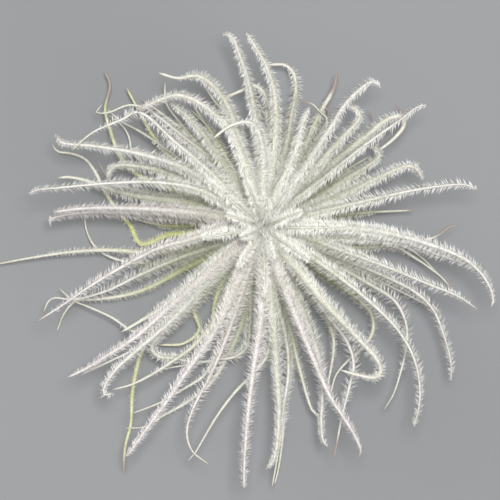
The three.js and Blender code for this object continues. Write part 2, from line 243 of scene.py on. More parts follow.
# blade: width at the root and at the tip, and how soon it narrows; hairs: how many for each mm, near the
# root and near the tip; length, width: of a hair; top: how many stand on top, and how long they are, beside
# those at the margins; bareFrom: share of the way where they end; green: share of bare tissue near the root
# and near the tip; lean: forwards, or back if below 0; spread: how untidily they stand; parting: how far the
# top ones part along the midrib
leafKinds = {
    "white": {"blade": (2.3, 0.45, 0.65), "hairs": (33, 9), "length": 3.2, "width": 0.35, "top": (0.3, 0.6),
        "bareFrom": 1.08, "green": (0.17, 0.0), "lean": -0.75, "spread": 0.24, "parting": 0.55},
    "soft": {"blade": (2.9, 0.7, 0.8), "hairs": (38, 15), "length": 2.9, "width": 0.34, "top": (0.8, 0.5),
        "bareFrom": 1.08, "green": (0.12, 0.0), "lean": -0.7, "spread": 0.32, "parting": 0.35},
    "downy": {"blade": (3.2, 0.8, 0.9), "hairs": (44, 22), "length": 2.8, "width": 0.32, "top": (1.2, 0.35),
        "bareFrom": 1.08, "green": (0.3, 0.18), "lean": -0.55, "spread": 0.45, "parting": 0.0},
    "green": {"blade": (2.6, 0.5, 0.75), "hairs": (28, 10), "length": 1.7, "width": 0.3, "top": (0.5, 0.7),
        "bareFrom": 0.85, "green": (0.85, 0.2), "lean": -0.4, "spread": 0.25, "parting": 0.5},
    "vivid": {"blade": (2.6, 0.7, 0.8), "hairs": (22, 6), "length": 1.2, "width": 0.26, "top": (0.4, 0.7),
        "bareFrom": 0.85, "green": (1.0, 0.8), "lean": -0.3, "spread": 0.25, "parting": 0.5},
    "thin": {"blade": (2.0, 0.45, 0.75), "hairs": (26, 9), "length": 2.0, "width": 0.31, "top": (0.5, 0.7),
        "bareFrom": 0.75, "green": (0.5, 0.12), "lean": -0.4, "spread": 0.25, "parting": 0.5},
    "bud": {"blade": (1.1, 0.25, 0.7), "hairs": (16, 9), "length": 3.0, "width": 0.27, "top": (0.7, 0.6),
        "bareFrom": 1.08, "green": (0.05, 0.0), "lean": -0.3, "spread": 0.7, "parting": 0.3},
}

# How every blade and its hairs vary, along and across
bladeDetail = {
    "ripple": (0.05, 0.9),  # share of the width, and radians for each mm
    "tipShare": 0.35,  # how much of its size the last ring keeps
    "caps": (0.1, 0.3),  # how far the closing points stand beyond the first and last rings
    "leanSpread": 0.25,  # from leaf to leaf
    "hairRun": (8, 42),  # where the number of hairs falls
    "hairAlong": ((0, 0.12, 0.5, 0.85, 1), (0.6, 0.9, 1, 0.75, 0.5)),  # way, and length there
    "bareFade": 0.12,  # share of the way over which the hairs end
    "bareHair": 0.35,  # how long the last ones are
    "tipHair": 0.3,
    "partingRun": (8, 28),  # where the parting opens
    "partingStart": 0.3,
    "marginSide": 1.05,  # how far the margins' hairs point sideways
    "marginCover": 1.35,  # how densely they stand
    "lift": 0.5,  # how far the others point away from the blade
}

# Strips of the baking map: where they start, and how tall they are
bakeStrips = {"blade": (0.02, 0.44), "hair": (0.52, 0.46), "cap": 0.015, "hairStep": 0.012}

fullTurn = 6.28  # radians


def widthAt(along, run, kind):
    widest, narrowest, taper = leafKinds[kind]["blade"]
    blade = mix((widest, narrowest), along**taper)
    neck, neckRun = leafShape["neck"]
    return blade * np.minimum(1, mix((neck, 1), run / neckRun))


def bladeRings(kind, line, along, run, bareFrom, random):
    # The points of a blade, and the direction, number and length of the hairs at each
    look, detail = leafKinds[kind], bladeDetail
    rollAmount = leafShape["roll"] * degree * random.uniform(-1, 1)
    ahead, side, above = bladeFrames(line, rollAmount, random.uniform(0, fullTurn))
    half = widthAt(along, run, kind) / 2
    waver, wave = detail["ripple"]
    half *= 1 + waver * np.sin(run * wave + random.uniform(0, fullTurn))
    deep = mix(leafShape["thickness"], along) / 2
    half[-1] *= detail["tipShare"]
    deep[-1] *= detail["tipShare"]
    sag = leafShape["gutter"].get(kind, leafShape["deepGutter"]) * (1 - along)
    lean = look["lean"] + random.uniform(-detail["leanSpread"], detail["leanSpread"])
    bare = np.clip((bareFrom - along) / detail["bareFade"], 0, 1)
    shorter = np.interp(along, *detail["hairAlong"])
    topCover, topHair = look["top"]
    parting = look["parting"] * np.interp(run, detail["partingRun"], (detail["partingStart"], 1))
    hairy = np.interp(run, detail["hairRun"], look["hairs"]) * bare / (4 * (half + deep))
    places, combs, covers, lengths = [], [], [], []
    for i in range(len(line)):
        for across, up in section:
            lift = up * deep[i] + sag[i] * across * across
            places.append(line[i] + side[i] * across * half[i] + above[i] * lift)
            sideways = math.copysign(mix((parting[i], detail["marginSide"]), abs(across)), across)
            comb = side[i] * sideways + above[i] * up * detail["lift"] + ahead[i] * lean
            combs.append(comb / np.linalg.norm(comb))
            covers.append(hairy[i] * mix((topCover, detail["marginCover"]), abs(across)))
            length = shorter[i] * mix((topHair, 1), abs(across))
            lengths.append(length * mix((detail["bareHair"], 1), bare[i]))
    before, beyond = detail["caps"]
    places += [line[-1] + ahead[-1] * beyond, line[0] - ahead[0] * before]
    for values, end in ((combs, ahead[-1]), (covers, 0), (lengths, detail["tipHair"])):
        values += [end, end]
    return places, combs, covers, lengths


def ringFaces(ways, marks, ends):
    # Quads between rings and a fan at each end, to the last two points, the tip and the root. In the baking
    # map, ways go from ring to ring, marks round them, and the fans start at ends
    around, rings = len(marks) - 1, len(ways)
    faces, corners = [], []
    for i in range(rings - 1):
        for k in range(around):
            near, far, after = i * around, (i + 1) * around, (k + 1) % around
            faces.append((near + k, near + after, far + after, far + k))
            low, high = marks[k], marks[k + 1]
            corners += [(ways[i], low), (ways[i], high), (ways[i + 1], high), (ways[i + 1], low)]
    tip, last = rings * around, (rings - 1) * around
    for k in range(around):
        after, low, high = (k + 1) % around, marks[k], marks[k + 1]
        faces += [(last + k, last + after, tip), (after, k, tip + 1)]
        corners += [(ends[1], low), (ends[1], high), (1, (low + high) / 2)]
        corners += [(ends[0], high), (ends[0], low), (0, (low + high) / 2)]
    return faces, corners


def writePoints(mesh, values):
    for attribute, numbers in values.items():
        mesh.attributes.new(attribute, "FLOAT", "POINT").data.foreach_set("value", np.array(numbers, float))


def newMesh(name, places, faces, corners):
    # A smooth mesh in metres, with its baking map
    mesh = bpy.data.meshes.new(name)
    mesh.from_pydata((np.array(places) * millimetre).tolist(), [], faces)
    mesh.uv_layers.new(name="OFBake").data.foreach_set("uv", np.ravel(corners))
    mesh.shade_smooth()
    return mesh


def bladeMesh(name, kind, line, along, run, bareFrom, random):
    places, combs, covers, lengths = bladeRings(kind, line, along, run, bareFrom, random)
    around, cap = len(section), bakeStrips["cap"]
    start, tall = bakeStrips["blade"]
    marks = [start + tall * k / around for k in range(around + 1)]
    mesh = newMesh(name, places, *ringFaces(along, marks, (cap, 1 - cap)))
    ways = np.concatenate([np.repeat(along, around), [1, 0]])
    writePoints(mesh, {"along": ways, "cover": covers, "hairLength": lengths})
    mesh.attributes.new("comb", "FLOAT_VECTOR", "POINT").data.foreach_set("vector", np.ravel(combs))
    mesh.validate()
    return mesh, ways


# Geometry Nodes: hairs over a blade

hairSettings = {
    "flatness": 0.5,  # thickness of a hair beside its width
    "clump": 0.25,  # how far hairs are drawn to the middle of their tuft
    "tuftSize": 0.8,
    "lengths": (0.5, 1.1),  # the shortest and the longest, beside the one given
    "lowest": 0.03,  # above the surface that the plant lies on
    "tones": (0.6, 0.4),  # how much of a hair's tone is its tuft's, and how much its own
    "toneSeed": 7.0,
    "seeds": 10000,
}


def addNode(tree, kind, inputs=(), **settings):
    node = tree.nodes.new(kind)
    for key, value in settings.items():
        setattr(node, key, value)
    for socket, value in dict(inputs).items():
        if isinstance(value, bpy.types.NodeSocket):
            tree.links.new(value, node.inputs[socket])
        else:
            node.inputs[socket].default_value = value
    return node


def namedField(tree, name, kind="FLOAT"):
    node = addNode(tree, "GeometryNodeInputNamedAttribute", {"Name": name}, data_type=kind)
    return node.outputs["Attribute"]


def storeField(tree, geometry, name, value, kind="FLOAT", domain="POINT"):
    inputs = {"Geometry": geometry, "Name": name, "Value": value}
    node = addNode(tree, "GeometryNodeStoreNamedAttribute", inputs, data_type=kind, domain=domain)
    return node.outputs["Geometry"]


def randomField(tree, seed, low=0.0, high=1.0):
    node = addNode(tree, "FunctionNodeRandomValue", {"Seed": seed, 2: low, 3: high}, data_type="FLOAT")
    return node.outputs[1]


def maths(tree, operation, first, second=0.0):
    return addNode(tree, "ShaderNodeMath", {0: first, 1: second}, operation=operation).outputs["Value"]


def times(tree, first, second):
    return maths(tree, "MULTIPLY", first, second)


def plus(tree, first, second):
    return maths(tree, "ADD", first, second)


def less(tree, first, second):
    return maths(tree, "SUBTRACT", first, second)


def vectors(tree, operation, inputs):
    return addNode(tree, "ShaderNodeVectorMath", inputs, operation=operation).outputs["Vector"]


def parts(tree, vector):
    return addNode(tree, "ShaderNodeSeparateXYZ", {"Vector": vector}).outputs


def joinParts(tree, x, y, z=0.0):
    return addNode(tree, "ShaderNodeCombineXYZ", {"X": x, "Y": y, "Z": z}).outputs["Vector"]


def clamp(tree, value):
    return addNode(tree, "ShaderNodeClamp", {"Value": value}).outputs["Result"]


def combedWay(tree, given, place, tufts):
    # Combed along the blade, scattered a little, and drawn to the middle of a tuft
    limits = {"Seed": given["Seed"], 0: (-1, -1, -1), 1: (1, 1, 1)}
    scatter = addNode(tree, "FunctionNodeRandomValue", limits, data_type="FLOAT_VECTOR")
    scattered = vectors(tree, "SCALE", {0: scatter.outputs["Value"], "Scale": given["Spread"]})
    inwards = vectors(tree, "SUBTRACT", {0: tufts.outputs["Position"], 1: place})
    pull = maths(tree, "DIVIDE", given["Clump"], given["Length"])
    pulled = vectors(tree, "SCALE", {0: inwards, "Scale": pull})
    way = vectors(tree, "ADD", {0: namedField(tree, "comb", "FLOAT_VECTOR"), 1: scattered})
    return vectors(tree, "ADD", {0: way, 1: pulled})


def hairTones(tree, given, tufts):
    # Most of a hair's tone is its tuft's
    shared, own = hairSettings["tones"]
    tuftTone = parts(tree, tufts.outputs["Color"])["X"]
    ownTone = randomField(tree, plus(tree, given["Seed"], hairSettings["toneSeed"]))
    return plus(tree, times(tree, tuftTone, shared), times(tree, ownTone, own))


def oneHair(tree, place):
    # A closed three-sided sliver of unit length
    sliver = addNode(
        tree, "GeometryNodeMeshCone",
        {"Vertices": 3, "Side Segments": 1, "Fill Segments": 1, "Radius Top": 0.0, "Radius Bottom": 0.5,
         "Depth": 1.0},
        fill_type="NGON",
    )
    spot = parts(tree, place)
    tall = storeField(tree, sliver.outputs["Mesh"], "hairHeight", spot["Z"])
    return storeField(tree, tall, "hairSide", spot["X"])


def hairSize(tree, given):
    long = times(tree, namedField(tree, "hairLength"), given["Length"])
    long = times(tree, long, randomField(tree, given["Seed"], *hairSettings["lengths"]))
    return joinParts(tree, given["Width"], times(tree, given["Width"], hairSettings["flatness"]), long)


def pressDown(tree, geometry, place):
    # Hairs that would pass below the surface are pressed flat on it
    seat = parts(tree, place)
    raised = maths(tree, "MAXIMUM", seat["Z"], hairSettings["lowest"] * millimetre)
    pressed = {"Geometry": geometry, "Position": joinParts(tree, seat["X"], seat["Y"], raised)}
    return addNode(tree, "GeometryNodeSetPosition", pressed).outputs["Geometry"]


def mapHairs(tree, geometry):
    # The hairs' own strip of the baking map, above the blade's
    start, tall = bakeStrips["hair"]
    aside = times(tree, namedField(tree, "hairSide"), bakeStrips["hairStep"])
    inStrip = clamp(tree, plus(tree, namedField(tree, "along"), aside))
    upStrip = plus(tree, times(tree, namedField(tree, "hairHeight"), tall), start)
    return storeField(tree, geometry, "OFBake", joinParts(tree, inStrip, upStrip), "FLOAT2", "CORNER")


def buildHairTree():
    tree = bpy.data.node_groups.new("hairsOverBlade", "GeometryNodeTree")
    sockets = {"Geometry": "Geometry", "Seed": "Int", "Hair Material": "Material"}
    sockets |= dict.fromkeys(("Density", "Length", "Width", "Spread", "Clump", "Tuft Size"), "Float")
    for name, kind in sockets.items():
        tree.interface.new_socket(name, in_out="INPUT", socket_type="NodeSocket" + kind)
    tree.interface.new_socket("Geometry", in_out="OUTPUT", socket_type="NodeSocketGeometry")
    given = tree.nodes.new("NodeGroupInput").outputs
    place = addNode(tree, "GeometryNodeInputPosition").outputs["Position"]
    perMetre = maths(tree, "DIVIDE", 1.0, given["Tuft Size"])
    tufts = addNode(tree, "ShaderNodeTexVoronoi", {"Vector": place, "Scale": perMetre})
    density = times(tree, namedField(tree, "cover"), given["Density"])
    roots = addNode(
        tree, "GeometryNodeDistributePointsOnFaces",
        {"Mesh": given["Geometry"], "Density": density, "Seed": given["Seed"]}, distribute_method="RANDOM",
    )
    toned = storeField(tree, roots.outputs["Points"], "hairTone", hairTones(tree, given, tufts))
    turn = addNode(
        tree, "FunctionNodeAlignRotationToVector", {"Vector": combedWay(tree, given, place, tufts)}, axis="Z",
    )
    hairs = addNode(
        tree, "GeometryNodeInstanceOnPoints",
        {"Points": toned, "Instance": oneHair(tree, place), "Rotation": turn.outputs["Rotation"],
         "Scale": hairSize(tree, given)},
    )
    loose = addNode(tree, "GeometryNodeRealizeInstances", {"Geometry": hairs.outputs["Instances"]})
    laid = mapHairs(tree, pressDown(tree, loose.outputs["Geometry"], place))
    coated = addNode(tree, "GeometryNodeSetMaterial", {"Geometry": laid, "Material": given["Hair Material"]})
    joined = addNode(tree, "GeometryNodeJoinGeometry", {"Geometry": given["Geometry"]})
    tree.links.new(coated.outputs["Geometry"], joined.inputs["Geometry"])
    addNode(tree, "NodeGroupOutput", {"Geometry": joined.outputs["Geometry"]})
    return tree


hairTree = buildHairTree()
print("hair nodes made")


def plainMesh(holder):
    # What the modifiers make, as the object's own mesh
    seen = bpy.context.evaluated_depsgraph_get()
    made = bpy.data.meshes.new_from_object(
        holder.evaluated_get(seen), preserve_all_data_layers=True, depsgraph=seen
    )
    holder.modifiers.clear()
    old = holder.data
    holder.data = made
    bpy.data.meshes.remove(old)


# Leaf routes in plan, mm from the middle of the stem, lowest leaf first: kind, then x, y pairs

outerLeaves = [
    ("vivid", -18, 7.5, -27, 9.5, -33, 10.8),
    ("vivid", -18, -14.5, -30, -25, -34.5, -32.5, -37.5, -40, -39.5, -50, -40, -59.5, -41.8, -67,
        -42.3, -74.7),
    ("vivid", -20, -1.5, -28.5, -2, -36.8, -4.8, -40, 0.8, -45, 6.8, -48.5, 12.5, -51, 17.5, -54, 21.2,
        -58, 22.8, -62.6, 23.6, -63.9, 25.6),
    ("green", -20, 27, -28, 33, -33.4, 37.1, -36.8, 39.2),
    ("green", 20, 13.5, 26.7, 18.3, 32.5, 21.7),
    ("thin", 3, 14, 2, 31.5, 0.8, 34.6, -0.9, 38.3),
    ("thin", 20, -3.5, 42, -5, 48.5, -8.8, 54.7, -15),
    ("thin", -22, 12, -34, 18, -39.5, 23.5, -40.3, 27.5, -42.2, 31, -46.5, 34.3),
    ("thin", -15, -6, -30, -10.3, -41, -10.2, -47, -8.3, -51, -5.3, -53.4, -0.5, -54, 4.2),
    ("vivid", -14, -15.5, -20.8, -23.5, -19, -30.8, -23.5, -34.9, -31, -35.5),
    ("green", -15, 1, -28, 0.7, -35, 1.8, -40, 3.4),
    ("thin", 9, 15.5, 17, 28, 20.2, 34, 19.9, 37.3, 18.7, 39.9),
    ("green", -4, -16, -5.5, -27, -10, -38, -16, -47.5, -23, -53, -30, -57, -36, -60.6, -41.6, -61),
    ("thin", -8, 17, -17, 31.5, -21.5, 38, -24.1, 41.7),
    ("vivid", -26, 20, -33, 28, -37, 35, -41, 42.5),
    ("green", -12, -6, -25, -13, -33, -17.4, -40, -20, -50, -21.6, -56.5, -22.2, -60, -25.8, -62.4, -31.4),
    ("vivid", -6, -7.5, -12, -16.5, -14.6, -24, -15, -31),
    ("thin", 17, 15.5, 29, 26.5, 33.5, 31, 33.6, 33.8, 32, 35.8),
    ("white", 20, -8, 35, -15.6, 45, -20.6, 50, -23.3, 53.9, -25.2),
    ("thin", 15, 2.6, 28, 4.4, 38, 5.1, 46.2, 5.4),
    ("green", 4, -18, 8.5, -34, 8.7, -42, 6.9, -54, 6.3, -63, 5, -73, 3.8, -78),
    ("thin", -12, 17, -24, 31, -29, 38, -29.3, 44.1),
    ("vivid", -20, 9, -38, 16.5, -43, 22, -46, 30, -47.5, 36, -46, 43.5, -47.7, 47.6),
    ("green", -15, -4.3, -27, -7, -35, -7.2, -47, -6.6, -58, -7.2, -70, -9, -82, -11.2),
    ("downy", 6, 20, 8.5, 32, 9.8, 38, 10.3, 43, 9.6, 46.8, 7, 49.3, 2, 49.4),
    ("thin", -15, -12, -30, -25, -38, -31.3, -41, -30, -45, -27.2, -52, -24, -57.3, -21.8, -61.4, -18.3),
    ("thin", 15, -4, 30, -5.8, 40, -5.6, 46, -8.8, 54.5, -15, 57.8, -19.2),
    ("thin", 20, 16.5, 34, 27.5, 42, 32.7, 42.3, 34.7, 40.4, 37.1),
    ("green", 4, -13, 8, -28, 11, -41, 14, -52, 15.5, -55.5, 17, -56.5, 17.1, -61, 18.2, -65.4),
    ("white", -3, -15, -3.5, -28, -4.7, -36, -8, -38.7, -13, -39.6, -20, -40.8, -31, -42.7),
    ("thin", -20, 6.5, -38, 11.5, -45.5, 14, -49.2, 19.9),
    ("thin", -20, 17, -30, 24.7, -37, 29.3, -42.5, 32.3, -46.5, 35.8),
    ("green", 9, -6.3, 20, -15, 29, -21.5, 33, -26, 33.4, -31, 31, -35.2, 26, -39.8, 22.3, -44.3,
        20.8, -49.5),
    ("downy", 10, 18, 15.2, 30, 17.8, 35.3, 20.2, 39.3, 21.8, 42.5, 22.6, 46.8),
    ("green", -10, 20, -16.6, 31, -21.5, 35.7),
    ("downy", -11.6, -13.2, -24, -26, -32, -33.5, -33.2, -36.3, -31, -38.6, -26, -39.2, -19, -41),
    ("white", -12, -4.5, -25, -9, -37, -14.2, -47, -19, -57, -21.5, -62.5, -21, -64.3, -22, -65.7, -25.1),
    ("white", 3, -16, 7, -32, 8, -42, 6.5, -54, 4.8, -68, 3.1, -78),
    ("thin", -6, -18, -12, -34, -17, -43.8, -24, -48.6, -30, -52.2, -39, -55.8),
    ("downy", -14, 5, -25, 8, -38, 9.8, -46, 11.8, -53, 14.3, -58, 15.3, -61.2, 15.1),
    ("downy", 3, 30, 1, 40, -2, 42.7, -6, 41.3, -10.5, 39.4),
    ("white", 10, -4.5, 22, -11, 33, -17.2, 40, -22, 43.2, -28.5, 43.4, -35, 41.7, -43, 39.5, -50,
        36.8, -54.6),
    ("thin", 17, 25, 19.5, 32.8, 17.3, 35, 15, 37.3, 11, 38),
    ("downy", 15, 8, 25, 14.5, 32, 19, 35.2, 21.5, 34.5, 24, 32.5, 24),
    ("green", 8, -10, 17, -23.5, 21, -31, 21.5, -36, 20.3, -44, 19, -50),
    ("white", -13, 18.6, -24, 27.8, -31, 33.3, -35, 36, -40, 36.8, -46, 34.6, -49.7, 34.6, -48, 37),
    ("downy", -14, -10, -28, -22.5, -35, -27, -42, -31.1),
    ("thin", 20, 0.8, 38, -0.8, 48, -3.6, 53, -2, 56, 0.3, 58.7, 1),
    ("white", 1, -16, 2.5, -30, 1.5, -38, -2, -42.8, -8, -49, -13.5, -56.3, -17.5, -63, -20, -67.3,
        -22.1, -69.7),
    ("soft", -12, 2, -25, 3.6, -40, 4.5, -53, 4.6, -60, 3.6, -63.3, 2.5, -63.3, 0.9),
    ("green", -8, -14.5, -15, -28.5, -20, -34.8, -27, -40, -33, -43.8, -39, -46.8, -44.7, -48.4),
    ("downy", 5.5, 18, 8, 28, 9, 35, 10, 38.8),
    ("green", -5, 18, -10.5, 34, -13.5, 37, -17.2, 42.4),
    ("downy", 12, 11.5, 22, 19.8, 31, 27.3, 38, 32.7, 42, 33.2, 42.5, 30.8, 39.5, 26.8, 35, 23.2),
    ("white", 12, -4.5, 25, -9.5, 38, -15, 46, -19.3, 51, -24.3, 54.3, -32, 56.4, -40, 56.6, -45.6),
    ("soft", 6, -12, 13, -27, 17, -39, 18, -50, 17.6, -58, 18.2, -63.5, 19.5, -65.3),
    ("downy", -15, 9.5, -30, 17, -38, 18.5, -43, 18.7, -45.7, 16.8, -46, 14.8),
    ("white", -14, -12, -28, -27, -37, -35.5, -45, -39.6, -53.9, -43.8),
]

# The newest leaves, which grow together with the heart

innerLeaves = [
    ("white", 9, -11.5, 19, -25.5, 25.3, -34, 27.2, -40.5, 25.8, -47.5, 23.6, -56.5, 22.3, -63.5,
        21.3, -68.5),
    ("downy", 15, 5.5, 28, 11.7, 37, 16.1, 43.3, 18.4, 46, 17.3, 47.7, 14.3),
    ("downy", -8, 14, -17.5, 27.8, -22.5, 33.2, -27, 36.8),
    ("soft", 15, -1.5, 30, -2.8, 42, -4.2, 52, -7.8, 61, -11),
    ("downy", 10, 11, 19.5, 22, 25, 28, 28.6, 32, 28.9, 34.2, 27, 35.6, 24.8, 36),
    ("soft", -13, -12.5, -27, -27.5, -38.5, -37.5, -44, -42.7, -47, -48, -46.8, -49.5, -44.1, -49.1),
    ("downy", -5, 20, -8.3, 31.5, -10.5, 36.8, -14, 41.5, -19, 45, -25, 44.3, -30.5, 45.8),
    ("white", -5, -16, -10, -31, -15.5, -44, -20.2, -53, -22.3, -60.5, -20.8, -66, -16, -70),
    ("downy", -0.5, 22, -2.2, 34, -4.3, 44, -7, 52, -9, 56.5, -11.5, 57.4),
    ("downy", 2, -14, 3.6, -30, 4.3, -42, 5, -54, 4.3, -65, 3, -69.6, 1.6, -71.1),
    ("soft", -12, 3, -25, 5, -40, 5.8, -53, 5.7, -61.9, 4.6),
    ("white", 12, -2.5, 25, -7.2, 38, -12, 50, -17, 58, -20.3, 63.9, -24.3),
    ("white", 15, 4.3, 30, 7.8, 42, 10.5, 52, 12.2, 60, 12.7, 63.3, 11.4),
    ("white", 10, 8.5, 20, 16.2, 30, 24.2, 40, 31.3, 46.5, 35.9, 48.4, 36.1),
    ("downy", 3.3, 20, 4.1, 34, 3.2, 42, 0.6, 49, -2, 53.3, -4.5, 57.4),
    ("soft", -20, 16, -35, 21.5, -50, 24.1, -59.5, 25.3, -60.8, 27.6),
    ("soft", -13, -10.5, -27, -23, -38, -32.7, -46, -37.8, -52, -41.5, -57.3, -44.1),
    ("soft", -6.5, -14, -13.5, -29.5, -22, -42, -29, -52.3, -35, -60.5, -39.9, -67.4),
    ("soft", 8, 11, 14.2, 20.3, 20, 29.3, 24.6, 36.6, 28.5, 40.5, 32, 42.9, 34.2, 42.2, 34.7, 41.2),
    ("white", 9, -5, 20, -12.5, 32, -22, 40, -30.2, 44.5, -38, 46.4, -46.5, 46, -54, 44.7, -58.7),
    ("white", -7, 0.8, -14, -0.5, -20, -3, -30, -5.8, -40, -10.8, -50, -16.8, -58, -22.3, -66.7, -27.9),
    ("soft", 12, 0.3, 25, 0, 38, -1.8, 50, -5.2, 60, -9.5, 65, -14.2, 67.4, -18.5, 68, -21.8, 67.5, -23.1),
    ("soft", 0, -14, -0.5, -28, -2.5, -41, -4.2, -55, -5.2, -68, -5.4, -76.6),
    ("soft", 4, -11, 9.5, -25, 15, -38.5, 20, -49.8, 25, -57.5, 28.3, -63.5, 29, -65.8, 28.3, -67.4),
    ("white", -15, 16, -25, 24.6, -36.5, 34, -41, 31.8, -50, 27.8, -55.8, 22.8),
    ("white", -12, 8, -20, 11.7, -32, 13.4, -45, 13, -60, 11.6, -66, 11, -68.5, 10),
    ("downy", 8, -9, 18, -21.5, 28, -32.3, 34, -39.3, 34.8, -42.3, 33.3, -43.9, 28, -43.2, 23, -41.8),
    ("downy", -3, 13, -6, 21, -9.7, 29.3, -15, 34, -20, 37.4, -25, 38.8, -30, 37.4, -36.5, 34.2),
    ("downy", 5, 12, 9.5, 22, 12.3, 32, 13.8, 35.2),
    ("soft", 0.5, 12, 0.3, 22, -0.8, 27.5, -3, 30.7, -6, 31, -10, 29.5, -14.4, 26.1),
]


# Materials

colours = {
    "scurf": (0.66, 0.645, 0.625, 1),
    # paler scurf on the newest leaves: partly their denser coat, partly painted light on the shaded heart
    "youngLitScurf": (0.9, 0.89, 0.84, 1),
    "thinScurf": (0.74, 0.75, 0.68, 1),
    "tissue": (0.47, 0.5, 0.13, 1),
    "dryTip": (0.26, 0.205, 0.19, 1),
    # painted shade on the blades' flanks, beside the bright midrib
    "flankShade": (0.71, 0.71, 0.69, 1),
    "lilac": (1.0, 0.965, 1.0, 1),
    # painted shade: darker, olive lower parts of the deeper leaves, where little light reaches
    "depthShade": (0.42, 0.44, 0.31, 1),
    "dullHair": (0.56, 0.555, 0.53, 1),
    # whiter hair on the newest leaves: partly denser hair, partly painted light on the shaded heart
    "youngLitHair": (0.95, 0.95, 0.9, 1),
    "oldHair": (0.73, 0.72, 0.715, 1),
    # painted shade at the roots of the hairs, greyish green
    "hairRootShade": (0.44, 0.435, 0.36, 1),
}

bladeFinish = {
    "speckle": (0.7, 0.6),  # size and sharpness of the scurf
    "veinStretch": (14, 130, 1),  # how often along the blade and round it
    "veinGreen": (0.9, 0.55),  # how far the veins change the green, and the least of it
    "veinRelief": 0.6,
    "youngPower": 3.0,  # how soon the newest leaves' pale finish, partly painted light on the heart, fades
    "dusting": 0.35,  # scurf that lies on bare tissue too
    "midrib": 0.148,  # where the midrib on top is in the blade's strip
    "flankShadeStart": (0.02, 0.09),  # how far from it the painted shade on the flanks starts
    "belowStart": (0.12, 0.17),  # how far from it the underside starts
    "belowEase": 0.8,  # how much less of that painted shade lies there
    "newestEase": 0.7,  # and on the newest leaves
    "roughness": (0.5, 0.72),
    "specular": 0.3,
    "bump": (0.5, 0.1),  # strength and height
}

hairFinish = {
    "rootShadeShare": 0.4,  # share of a hair darkened by painted shade at its root
    "tonePower": 1.5,  # how few of the hairs are dull
    "youngEase": 0.4,  # how much less dull the newest leaves' hairs are, partly painted light on the heart
    "patches": (2.5, 1.0),  # size and sharpness, where green shows
    "greenHeight": 0.75,
    "greenPatches": 1.2,
    "dryShare": 0.6,
    "roughness": (0.42, 0.6),
    "specular": 0.35,
}

stemFinish = {
    "bark": (0.16, 0.105, 0.055, 1),
    "scale": (0.42, 0.34, 0.22, 1),
    "speckle": (1.2, 0.8),
    "fibres": (1500.0, (1, 1, 0.18)),  # how fine, and how drawn out along the stem
    "paleEdge": 0.35,  # the least of a scale's pale edge
    "dusting": 0.25,
    "roughness": (0.72, 0.95),
    "specular": 0.5,
    "bump": (0.6, 0.3),  # strength and height
}


fineDetail, coarseDetail = 4.0, 2.0  # octaves of noise


def noise(tree, place, scale, detail):
    inputs = {"Vector": place, "Scale": scale, "Detail": detail}
    return addNode(tree, "ShaderNodeTexNoise", inputs).outputs["Fac"]


def ramp(tree, value, start, end, low=0.0, high=1.0):
    # From low to high while the value goes from start to end
    limits = {"Value": value, "From Min": start, "From Max": end, "To Min": low, "To Max": high}
    return addNode(tree, "ShaderNodeMapRange", limits).outputs["Result"]


def lessened(tree, value, share):
    return less(tree, 1.0, times(tree, value, share))


def buildSpeckleGroup():
    # Fine uneven scurf: a mask and a height, from Object coordinates
    group = bpy.data.node_groups.new("scurfSpeckle", "ShaderNodeTree")
    for name, way in (("Size", "INPUT"), ("Sharpness", "INPUT"), ("Mask", "OUTPUT"), ("Height", "OUTPUT")):
        group.interface.new_socket(name, in_out=way, socket_type="NodeSocketFloat")
    middle, below, above = 0.5, 0.35, 0.1
    coarseScale, coarseBase = 160.0, 0.5
    given = group.nodes.new("NodeGroupInput").outputs
    place = addNode(group, "ShaderNodeTexCoord").outputs["Object"]
    fine = noise(group, place, maths(group, "DIVIDE", 1 / millimetre, given["Size"]), fineDetail)
    coarse = noise(group, place, coarseScale, coarseDetail)
    both = times(group, fine, plus(group, coarse, coarseBase))
    low = less(group, middle, times(group, given["Sharpness"], below))
    high = plus(group, middle, times(group, given["Sharpness"], above))
    addNode(group, "NodeGroupOutput", {"Mask": ramp(group, both, low, high), "Height": fine})
    return group


def placeGroup(tree, group, size, sharpness):
    inputs = {"Size": size, "Sharpness": sharpness}
    return addNode(tree, "ShaderNodeGroup", inputs, node_tree=group).outputs


def blend(tree, share, first, second, way="MIX"):
    # The colour sockets of a Mix node go by number, because others have the same names
    inputs = {0: share, 6: first, 7: second}
    return addNode(tree, "ShaderNodeMix", inputs, data_type="RGBA", blend_type=way).outputs[2]


def attributeOf(tree, name):
    return addNode(tree, "ShaderNodeAttribute", attribute_name=name).outputs["Fac"]


def lilacAndPaintedShade(tree, base):
    # The lilac cast of some leaves, and painted shade on the lower part of the deeper leaves
    base = blend(tree, attributeOf(tree, "lilac"), base, colours["lilac"], "MULTIPLY")
    # the old attribute carries painted shade on the deeper leaves' lower parts
    return blend(tree, attributeOf(tree, "old"), base, colours["depthShade"], "MULTIPLY")


def finish(tree, shader, base, pattern, look):
    # Colour, and a roughness that follows a pattern
    tree.links.new(base, shader.inputs["Base Color"])
    tree.links.new(ramp(tree, pattern, 0.0, 1.0, *look["roughness"]), shader.inputs["Roughness"])
    shader.inputs["Specular IOR Level"].default_value = look["specular"]


def raiseBump(tree, shader, height, strength, distance):
    inputs = {"Height": height, "Strength": strength, "Distance": distance * millimetre}
    bump = addNode(tree, "ShaderNodeBump", inputs)
    tree.links.new(bump.outputs["Normal"], shader.inputs["Normal"])


def flankShadeMask(tree, strip, newest):
    # Painted shade beside the midrib: full on a blade's flanks, and weaker underneath and on the newest
    # leaves
    look = bladeFinish
    fromMidrib = maths(tree, "ABSOLUTE", less(tree, parts(tree, strip)["Y"], look["midrib"]))
    flankShade = ramp(tree, fromMidrib, *look["flankShadeStart"])
    below = times(tree, ramp(tree, fromMidrib, *look["belowStart"]), look["belowEase"])
    eased = less(tree, flankShade, below)
    return times(tree, eased, lessened(tree, newest, look["newestEase"]))


